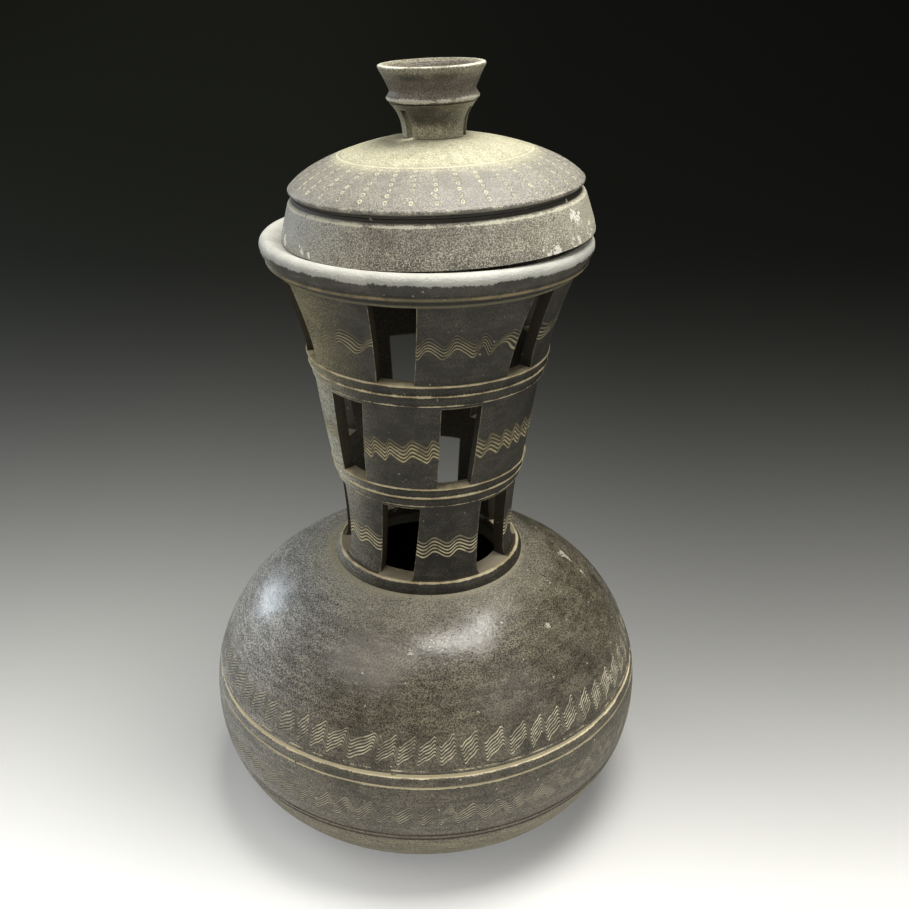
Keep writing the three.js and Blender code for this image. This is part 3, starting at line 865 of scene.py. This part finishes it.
def lid_finish():
    """Lid: gritty skirt with flakes, paler at the sides as painted light, dome with stamped rings
    and painted shade in the brown groove under its ridge.
    """
    f = Finish("lid_clay", foot=tuple(LID_PLACE * MM), tilt=LID_TILT)
    skirt = f.clay((0.115, 0.104, 0.082), (0.19, 0.175, 0.14), (0.28, 0.26, 0.21))
    # Painted light on the skirt's sides: bluish grey on the left, warmer on the right
    skirt = f.blend(f.step(f.side, -0.3, -1.2, 0.0, 0.5), skirt, (0.43, 0.44, 0.41))
    skirt = f.blend(f.step(f.side, 0.3, 1.2, 0.0, 0.6), skirt, (0.44, 0.41, 0.31))
    aside = f.step(f.math("ABSOLUTE", f.side), 0.5, 1.3, 0.0, 0.6)
    skirt = f.blend(aside, f.gritted(skirt, 0.65), skirt)
    dots = f.times(f.step(f.grit, 0.78, 0.95), f.step(f.height, 15.0, 3.0))
    skirt = f.blend(dots, skirt, (0.55, 0.52, 0.42))
    dome = f.clay((0.15, 0.14, 0.118), (0.20, 0.19, 0.162), (0.255, 0.24, 0.20))
    top = f.clay((0.27, 0.255, 0.17), (0.36, 0.34, 0.235), (0.45, 0.43, 0.31))
    inward = f.add(f.step(f.radius, 58.0, 38.0), f.swing(f.cloud, 0.4))
    inward = f.less(inward, f.step(f.side, -0.6, -1.5, 0.0, 0.12))
    dome = f.blend(f.step(inward, 0.1, 0.9), dome, top)
    dome = f.gritted(dome, 0.38)
    on_dome = f.step(f.height, LID_SEAM - 0.2, LID_SEAM + 0.4)
    f.colour = f.blend(on_dome, skirt, dome)
    stamps = f.stamps(*OUTER_STAMPS)
    faint = f.stamps(*INNER_STAMPS)
    ring = f.most(stamps["Ring"], f.times(stamps["Dot"], 0.45))
    ring = f.times(f.add(ring, f.times(faint["Ring"], 0.3)), on_dome,
                   f.step(f.rough, 0.35, 0.6, 0.2, 1.0))
    f.paint(ring, (0.54, 0.50, 0.36))
    aside = f.math("ABSOLUTE", f.less(f.radius, DOME_CIRCLE_RADIUS))
    circle = f.times(f.step(aside, 1.0, 0.35), on_dome)
    dusty = f.times(circle, f.step(f.mottle, -0.4, 0.7, 0.2, 0.7))
    f.paint(dusty, (0.56, 0.52, 0.38))
    # Painted shade: dark brown in the groove below the ridge
    groove = f.span(f.height, *DOME_GROOVE)
    groove = f.times(groove, f.step(f.radius, DOME_GROOVE_RADIUS, DOME_GROOVE_RADIUS - 0.8))
    f.paint(groove, (0.020, 0.015, 0.008), 0.92)
    f.paint(f.deposit(), (0.58, 0.55, 0.43), 0.9)
    flakes = f.patches(LID_FLAKES)
    flakes = f.times(flakes, f.less(1.0, on_dome))
    dense_flakes = f.times(flakes, f.step(f.grain, 0.0, 0.5, 0.7, 0.95))
    f.paint(dense_flakes, (0.84, 0.82, 0.72))
    f.paint(f.specks, (0.66, 0.64, 0.55), 0.7)
    f.paint(f.pits, (0.06, 0.05, 0.035), 0.65)
    smooth = f.times(on_dome, f.step(f.radius, 45.0, 50.0))
    roughness = f.add(f.less(0.62, f.times(smooth, 0.18)), f.swing(f.grain, 0.22))
    relief = f.add(f.times(f.grain, 0.25), f.times(f.mottle, 0.15))
    relief = f.less(relief, f.times(f.add(stamps["Ring"], faint["Ring"]), 0.5))
    relief = f.add(f.less(relief, f.times(circle, 0.6)), f.times(flakes, 0.3))
    return f.finish(roughness, relief)


def knob_finish():
    """Knob: olive brown, dustier towards the foot of its stem."""
    f = Finish("knob_clay", foot=tuple(LID_PLACE * MM), tilt=LID_TILT)
    f.colour = f.clay((0.022, 0.019, 0.012), (0.050, 0.044, 0.028), (0.11, 0.10, 0.072))
    f.colour = f.scaled(f.colour, f.step(f.streak, 0.0, 1.0, 0.7, 1.3))
    stem = f.add(f.step(f.height, 57.0, 46.0), f.swing(f.mottle, 0.5))
    f.paint(f.step(stem, 0.1, 1.0, 0.0, 0.85), (0.36, 0.33, 0.22))
    # Painted light on both sides; dust under the rim and over the ridge
    aside = f.step(f.math("ABSOLUTE", f.add(f.side, 0.1)), 0.35, 1.3, 0.0, 0.6)
    f.paint(aside, (0.36, 0.35, 0.28))
    under_rim = f.step(f.height, CUP_TOP - 4.4, CUP_TOP - 1.6, 0.0, 0.55)
    over_ridge = f.times(f.step(f.height, 68.2, 65.4, 0.0, 0.6), f.step(f.height, 62.0, 63.0))
    f.paint(f.most(under_rim, over_ridge), (0.34, 0.31, 0.22))
    hollow = f.times(f.step(f.height, CUP_TOP - 0.9, CUP_TOP - 1.6),
                     f.step(f.radius, 23.4, 22.4), f.step(f.height, 60.0, 61.5, 0.0, 0.7))
    f.paint(hollow, (0.10, 0.08, 0.065))
    f.colour = f.gritted(f.colour, 0.6)
    arris = f.times(f.step(f.attribute("edge"), 0.6, 0.2), f.less(1.0, f.attribute("cut")),
                    f.step(f.height, 60.9, 60.5, 0.0, 0.6))
    f.paint(arris, (0.35, 0.32, 0.22))
    f.paint(f.attribute("cut"), (0.035, 0.025, 0.012), 0.7)
    f.paint(f.deposit(), (0.62, 0.60, 0.51), 0.9)
    f.paint(f.specks, (0.5, 0.48, 0.38), 0.6)
    roughness = f.add(0.5, f.swing(f.grain, 0.25))
    relief = f.add(f.times(f.grain, 0.25), f.times(f.mottle, 0.2))
    return f.finish(roughness, relief)


# Pieces of the jar

def make_body(finish):
    """Bowl and shoulder, which meet at the seam."""
    foot_pull = FOOT_RADIUS + FOOT_REACH
    belly_pull = (BODY_RADIUS + BELLY_REACH, LINE_HEIGHT - BELLY_DROP)
    lean_pull = (BODY_RADIUS - SHOULDER_LEAN, LINE_HEIGHT + SHOULDER_LEAN_RISE)
    fullness_pull = (SHOULDER_TOP_RADIUS + SHOULDER_FULLNESS, SHOULDER_TOP - SHOULDER_FALL)
    belly = curve((FOOT_RADIUS, 0.0), (foot_pull, FOOT_LIFT), belly_pull,
                  (BODY_RADIUS, LINE_HEIGHT), steps=90)
    dome = curve((BODY_RADIUS, LINE_HEIGHT), lean_pull, fullness_pull,
                 (SHOULDER_TOP_RADIUS, SHOULDER_TOP), steps=80)
    wall = belly[:-1] + dome
    plain = 12.0
    low = [p for p in belly if p[1] < plain]
    low += cut_lines(wall, plain, SEAM_HEIGHT, BODY_LINES)
    inner = curve((BODY_RADIUS - BODY_WALL, SEAM_HEIGHT),
                  (belly_pull[0] - BODY_WALL, belly_pull[1]),
                  (foot_pull - BODY_WALL, BODY_WALL), (FOOT_RADIUS, BODY_WALL), steps=24)
    outer = [(0.0, 0.0)] + low
    mesh = spun("base_bowl", outer, inner + [(0.0, BODY_WALL)], SIDES, reach=0.2)
    put("base_bowl", mesh, "jar", BODY_FRAME, finish)
    outer = cut_lines(wall, SEAM_HEIGHT, SHOULDER_TOP - 0.01, BODY_LINES)
    outer += [(SHOULDER_TOP_RADIUS, SHOULDER_TOP)]
    bore = NECK_BORE + NECK_OFFSET
    inner = [(bore, SHOULDER_TOP)]
    inner += curve((bore, SHOULDER_TOP - BODY_WALL), tuple(v - BODY_WALL for v in fullness_pull),
                   (lean_pull[0] - BODY_WALL, lean_pull[1]),
                   (BODY_RADIUS - BODY_WALL, LINE_HEIGHT), steps=20)
    inner += [(BODY_RADIUS - BODY_WALL, SEAM_HEIGHT)]
    mesh = spun("shoulder", outer, inner, SIDES, reach=0.2)
    put("shoulder", mesh, "jar", BODY_FRAME, finish)


def make_foot_ring(finish):
    """Ring at the neck's foot, with the sills of the lowest windows."""
    outer = [(52.1, SHOULDER_TOP), (52.2, 147.0), (52.0, 148.4), (51.4, 149.8),
             (50.6, 150.7, 0.1), (49.9, 151.2, 1.0), (49.2, RING_TOP, 0.8), (48.7, RING_TOP),
             (LOWER_TIER["foot"], RING_TOP)]
    inner = [(NECK_BORE, RING_TOP, 0.3), (NECK_BORE, SHOULDER_TOP)]
    mesh = spun("neck_foot_ring", outer, inner, SIDES)
    mark_sills(mesh, LOWER_WINDOWS, RING_TOP, LOWER_TIER["high"])
    put("neck_foot_ring", mesh, "jar", NECK_FRAME, finish)


def make_tier(node, tier, windows, finish):
    """A flaring tier of the neck, pierced by its windows."""
    outer = []
    rows = 22
    for i in range(rows + 1):
        share = i / rows
        radius = tier["foot"] + (tier["head"] - tier["foot"]) * share ** tier["bend"]
        radius += tier["flare"] * max(0.0, 1.0 - share * 7.0) ** 2
        outer.append((radius, tier["low"] + (tier["high"] - tier["low"]) * share, 0.0))
    inner = [(r - NECK_WALL, z, 0.0) for r, z, _ in reversed(outer)]
    inner[-1] = (tier["foot"] - NECK_WALL, tier["low"], 0.0)
    head = tier["high"] - WINDOW_HEAD
    sill = tier["low"] - CUT_BELOW
    mesh = spun(node, outer, inner, SIDES)
    mesh = cut_openings(mesh, windows, sill, head, reach=tier["head"] + 4.0)
    put(node, mesh, "jar", NECK_FRAME, finish, amount=0.2)


def make_band(node, below, above, windows, crests, finish):
    """Raised band between two tiers; crests are how pale its three ridges are, upwards."""
    low = below["high"]
    bottom, middle, top = crests
    stands = ((0.0, 0.0, 0.0), (0.02, 0.55, 0.4 * bottom), (0.05, 0.75, bottom), (0.09, 0.55, 0.2),
              (0.16, 0.36, 0.0), (0.30, 0.31, 0.0), (0.42, 0.5, 0.0), (0.46, 0.92, 0.3),
              (0.50, 1.0, middle), (0.55, 1.0, middle), (0.58, 0.75, 0.2), (0.66, 0.4, 0.0),
              (0.80, 0.31, 0.0), (0.89, 0.45, 0.1), (0.93, 0.72, 0.7 * top), (0.97, 0.75, top),
              (1.0, 0.5, 0.6 * top))
    outer = []
    for share, stand, pale in stands:
        radius = below["head"] + (above["foot"] - below["head"]) * share
        outer.append((radius + stand * BAND_STAND, low + BAND_HEIGHT * share, pale))
    outer.append((above["foot"] - 0.5, low + BAND_HEIGHT, 0.6))
    inner = [(above["foot"] - NECK_WALL, low + BAND_HEIGHT, 0.0),
             (below["head"] - NECK_WALL, low, 0.0)]
    mesh = spun(node, outer, inner, SIDES, reach=0.25)
    mark_sills(mesh, windows, above["low"], above["high"])
    put(node, mesh, "jar", NECK_FRAME, finish)


def make_mouth(finish):
    """The collar and the rolled lip, with the seat of the lid inside."""
    foot, low = UPPER_TIER["head"], UPPER_TIER["high"]
    outer = [(foot, low, 0.0), (76.0, 310.4, 0.0), (77.8, 311.2, 0.0), (79.6, 312.6, 0.0),
             (80.5, 313.8, 0.2), (80.35, 314.8, 0.0), (80.1, 315.6, 0.0), (80.7, 316.3, 0.0)]
    outer += curve((80.9, 316.6), (83.4, 319.0), (83.9, 325.2), (CREST_RADIUS, LIP_TOP),
                   steps=16)[1:]
    outer = [(r, z, min(1.0, max(pale, (z - 319.0) / 3.0))) for r, z, pale in outer]
    seat = CREST_RADIUS - SEAT_WIDTH
    outer.append((seat, LIP_TOP - SEAT_WIDTH * SEAT_TAN, 0.6))
    inner = [(foot - NECK_WALL, low, 0.0)]
    put("mouth_rim", spun("mouth_rim", outer, inner, SIDES), "jar", NECK_FRAME, finish)


# Pieces of the lid

def make_lid(finish):
    """The lid's skirt, and the dome that stands in a groove on it."""
    outer = [(LID_RADIUS, 0.0, 0.1), (76.9, 1.6), (76.6, 3.7), (72.7, 16.6), (72.2, 17.6, 0.65),
             (71.5, 18.5, 0.35), (70.4, 18.9), (LID_SEAM_RADIUS, 19.4),
             (LID_SEAM_RADIUS, LID_SEAM)]
    bore = LID_SEAM_RADIUS - LID_WALL
    inner = [(bore, LID_SEAM), (LID_RADIUS - LID_WALL, 0.0)]
    put("lid_skirt", spun("lid_skirt", outer, inner, SIDES), "lid", LID_FRAME, finish)
    low = LID_SEAM + SEAM_GAP
    outer = [(LID_SEAM_RADIUS, low), (LID_SEAM_RADIUS, 21.7), (70.6, 22.1),
             (71.6, 22.7, 0.2), (72.0, 23.6, 0.45), (71.8, 24.5, 0.3)]
    outer += curve((71.0, 25.0), (63.4, 33.4), (40.3, 41.8), (DOME_SEAT_RADIUS, DOME_TOP),
                   steps=34)
    outer += [(0.0, DOME_TOP)]
    inner = [(0.0, DOME_HOLLOW_TOP)]
    inner += curve((DOME_SEAT_RADIUS, DOME_HOLLOW_TOP), (35.4, 35.3), (55.7, 27.0),
                   (bore, 22.2), steps=16)
    inner += [(bore, low)]
    put("lid_dome", spun("lid_dome", outer, inner, SIDES), "lid", LID_FRAME, finish)


def make_knob(finish):
    """The slotted stem and the cup on it."""
    outer = curve((STEM_RADIUS, STEM_LOW), (STEM_RADIUS, 52.3), (16.6, 56.1),
                  (STEM_TOP_RADIUS, STEM_TOP), steps=16)
    inner = [(STEM_TOP_RADIUS - KNOB_WALL, STEM_TOP), (STEM_RADIUS - KNOB_WALL, 53.0),
             (STEM_RADIUS - KNOB_WALL, STEM_LOW)]
    sill = STEM_LOW - CUT_BELOW
    mesh = spun("lid_knob_stem", outer, inner, KNOB_SIDES)
    mesh = cut_openings(mesh, SLITS, sill, SLIT_HEAD, reach=STEM_TOP_RADIUS + 3.0)
    put("lid_knob_stem", mesh, "lid", LID_FRAME, finish, amount=0.15)
    waist = CUP_LOW + 4.9
    outer = [(STEM_TOP_RADIUS, CUP_LOW), (21.6, 61.7, 0.4), (22.2, 62.6, 0.7),
             (22.0, 63.4, 0.45), (21.2, 64.2, 0.1), (CUP_WAIST_RADIUS, waist)]
    outer += [(23.0, 72.0), (CUP_RIM_RADIUS, CUP_TOP - 0.8, 0.2),
              (CUP_RIM_RADIUS - 0.8, CUP_TOP, 0.75), (22.4, CUP_TOP)]
    inner = [(CUP_WAIST_RADIUS - KNOB_WALL, waist), (STEM_TOP_RADIUS - KNOB_WALL, CUP_LOW)]
    mesh = spun("lid_knob_cup", outer, inner, KNOB_SIDES)
    put("lid_knob_cup", mesh, "lid", LID_FRAME, finish, amount=0.15)


def mark_outer_walls():
    """1 on the jar's faces that look outwards, 0 elsewhere."""
    for obj in bpy.data.objects:
        of_neck = obj.name.startswith("clay_neck")
        if of_neck or obj.name in ("clay_base_bowl", "clay_shoulder"):
            outer = obj.data.attributes.new("outer", "FLOAT", "FACE")
            for i, face in enumerate(obj.data.polygons):
                middle = Vector((0.0, 0.0, LINE_HEIGHT * MM))
                if of_neck:
                    middle = Vector((NECK_OFFSET * MM, 0.0, face.center.z))
                outward = (face.center - middle).normalized()
                outer.data[i].value = float(face.normal.dot(outward) > OUTWARD_ABOVE)


# Stage

def make_camera():
    """Camera at the photograph's angle."""
    forward = Vector((math.sin(CAMERA_YAW) * math.cos(CAMERA_PITCH),
                      math.cos(CAMERA_YAW) * math.cos(CAMERA_PITCH),
                      -math.sin(CAMERA_PITCH)))
    right = Vector((math.cos(CAMERA_YAW), -math.sin(CAMERA_YAW), 0.0))
    up = right.cross(forward)
    side = right * math.cos(CAMERA_ROLL) + up * math.sin(CAMERA_ROLL)
    top = up * math.cos(CAMERA_ROLL) - right * math.sin(CAMERA_ROLL)
    data = bpy.data.cameras.new("camera")
    data.lens = FOCAL_LENGTH
    data.sensor_width = SENSOR_WIDTH
    data.clip_start = 0.01
    camera = bpy.data.objects.new("camera", data)
    turn = Matrix((side, top, -forward)).transposed().to_4x4()
    camera.matrix_world = Matrix.Translation(CAMERA_PLACE) @ turn
    bpy.context.collection.objects.link(camera)
    bpy.context.scene.camera = camera


def make_stage():
    """Pale floor that sweeps up into a backdrop, with painted shade that darkens it with distance
    and on the right.
    """
    front = -2.5
    sweep = 1.1
    bend = 0.7
    top = 3.0
    half_width = 4.0
    sunk = 0.0002
    profile = [(front, 0.0), (sweep, 0.0)]
    steps = 16
    for i in range(1, steps + 1):
        angle = math.pi / 2 * i / steps
        profile.append((sweep + bend * math.sin(angle), bend - bend * math.cos(angle)))
    profile.append((sweep + bend, top))
    bm = bmesh.new()
    rows = [[bm.verts.new((x, y, z - sunk)) for x in (-half_width, half_width)]
            for y, z in profile]
    for low, high in zip(rows, rows[1:]):
        bm.faces.new((low[0], low[1], high[1], high[0]))
    mesh = bpy.data.meshes.new("floor")
    bm.to_mesh(mesh)
    bm.free()
    mesh.shade_smooth()
    floor = bpy.data.objects.new("floor", mesh)
    bpy.context.collection.objects.link(floor)
    material = bpy.data.materials.new("pale_floor")
    material.use_nodes = True
    s = Sheet(material.node_tree)
    coordinates = material.node_tree.nodes.new("ShaderNodeTexCoord")
    across, away, up = s.axes(coordinates.outputs["Object"])
    fade_start = -0.12
    fade_rate = 4.0
    # Painted shade: the floor and backdrop darker with distance and towards the right
    depth = s.less(s.add(away, up), fade_start)
    near = s.math("EXPONENT", s.times(s.most(depth, 0.0), -fade_rate))
    side = s.step(across, 0.3, -0.3)
    right_shade = s.times(s.less(1.0, side), s.less(1.0, near))
    colour = s.blend(near, (0.010, 0.011, 0.008), (0.59, 0.59, 0.575))
    colour = s.scaled(colour, s.less(1.0, s.times(right_shade, 0.45)))
    shader = material.node_tree.nodes["Principled BSDF"]
    s.wire(shader.inputs["Base Color"], colour)
    # A painted glow of light, stronger near the front and on the left, that only the camera and
    # shiny things see
    rays = material.node_tree.nodes.new("ShaderNodeLightPath").outputs
    seen = s.add(rays["Is Camera Ray"], s.add(rays["Is Glossy Ray"], rays["Is Transmission Ray"]))
    glow = s.times(s.math("POWER", near, 1.3), s.add(0.12, s.times(side, 0.28)))
    shader.inputs["Emission Color"].default_value = (1.0, 1.0, 1.0, 1.0)
    s.wire(shader.inputs["Emission Strength"], s.times(glow, seen))
    shader.inputs["Roughness"].default_value = 0.9
    shader.inputs["Specular IOR Level"].default_value = 0.1
    floor.data.materials.append(material)


def make_light(name, place, size, power, colour):
    """Square lamp that points at the jar and isn't seen itself."""
    data = bpy.data.lights.new(name, "AREA")
    data.size = size
    data.energy = power
    data.color = colour
    light = bpy.data.objects.new(name, data)
    light.location = place
    light.visible_camera = False
    aim = LIT_PLACE - Vector(place)
    light.rotation_euler = aim.to_track_quat("-Z", "Y").to_euler()
    bpy.context.collection.objects.link(light)


def light_studio():
    """Four soft lamps and a dim grey world."""
    make_light("top", (0.24, 0.02, 1.45), 0.65, 26.0, (1.0, 0.98, 0.93))
    make_light("key", (-0.6, -0.5, 1.4), 1.0, 7.0, (1.0, 0.98, 0.95))
    make_light("fill", (1.0, -0.9, 0.9), 0.9, 3.0, (1.0, 0.99, 0.96))
    make_light("window", (-1.4, 1.1, 0.6), 0.5, 8.0, (0.80, 0.90, 1.0))
    world = bpy.data.worlds.new("world")
    bpy.context.scene.world = world
    world.use_nodes = True
    background = world.node_tree.nodes["Background"]
    background.inputs["Color"].default_value = (0.82, 0.82, 0.79, 1.0)
    background.inputs["Strength"].default_value = 0.25


make_camera()
neck_clay = neck_finish()
make_body(body_finish())
make_foot_ring(neck_clay)
make_tier("neck_lower_tier", LOWER_TIER, LOWER_WINDOWS, neck_clay)
make_band("neck_lower_band", LOWER_TIER, MIDDLE_TIER, MIDDLE_WINDOWS,
          (0.8, 0.9, 0.9), neck_clay)
make_tier("neck_middle_tier", MIDDLE_TIER, MIDDLE_WINDOWS, neck_clay)
make_band("neck_upper_band", MIDDLE_TIER, UPPER_TIER, UPPER_WINDOWS,
          (0.75, 0.7, 1.0), neck_clay)
make_tier("neck_upper_tier", UPPER_TIER, UPPER_WINDOWS, neck_clay)
mark_outer_walls()
make_mouth(rim_finish())
make_lid(lid_finish())
make_knob(knob_finish())
make_stage()
light_studio()
bpy.context.scene.view_settings.view_transform = "Standard"
